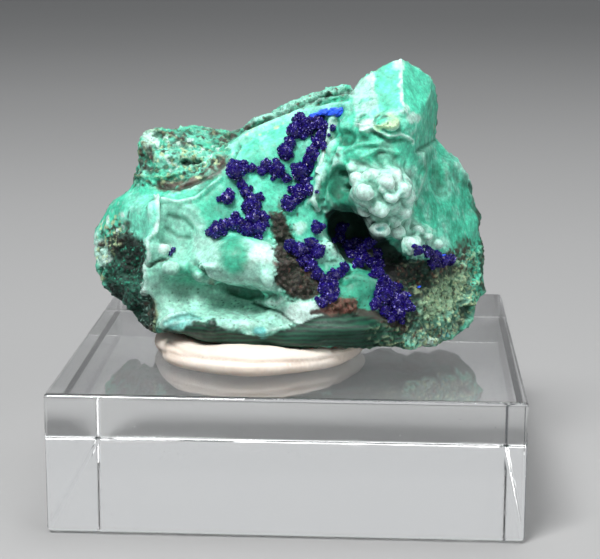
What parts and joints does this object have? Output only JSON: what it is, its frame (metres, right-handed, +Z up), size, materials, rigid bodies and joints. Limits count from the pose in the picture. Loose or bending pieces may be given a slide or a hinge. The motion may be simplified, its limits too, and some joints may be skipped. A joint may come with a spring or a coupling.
{
  "type": "azurite specimen on display block",
  "caption": "Green malachite stone with clusters of blue azurite balls, held by white mineral putty on a clear acrylic display block.",
  "frame": {"origin": "middle of the acrylic block's underside", "axes": "+X to the right and +Y to the back as seen from the stone's display side, +Z up"},
  "size_m": [0.04, 0.04, 0.0384],
  "materials": {
    "acrylic": "clear polished acrylic with faint rub marks",
    "putty": "soft matt mineral putty",
    "malachite": "natural stone, waxy mint to dark green with white and brown patches",
    "azurite": "deep blue sparkling crystal balls"
  },
  "bodies": {
    "root": {"acrylic_block": "acrylic", "mounting_tack": "putty", "malachite_matrix": "malachite", "azurite_cluster_upper": "azurite", "azurite_cluster_middle": "azurite", "azurite_cluster_lower": "azurite", "azurite_cluster_right": "azurite", "azurite_cavity_crust": "azurite", "azurite_ball_left": "azurite", "azurite_ball_right": "azurite"}
  },
  "joints": []
}
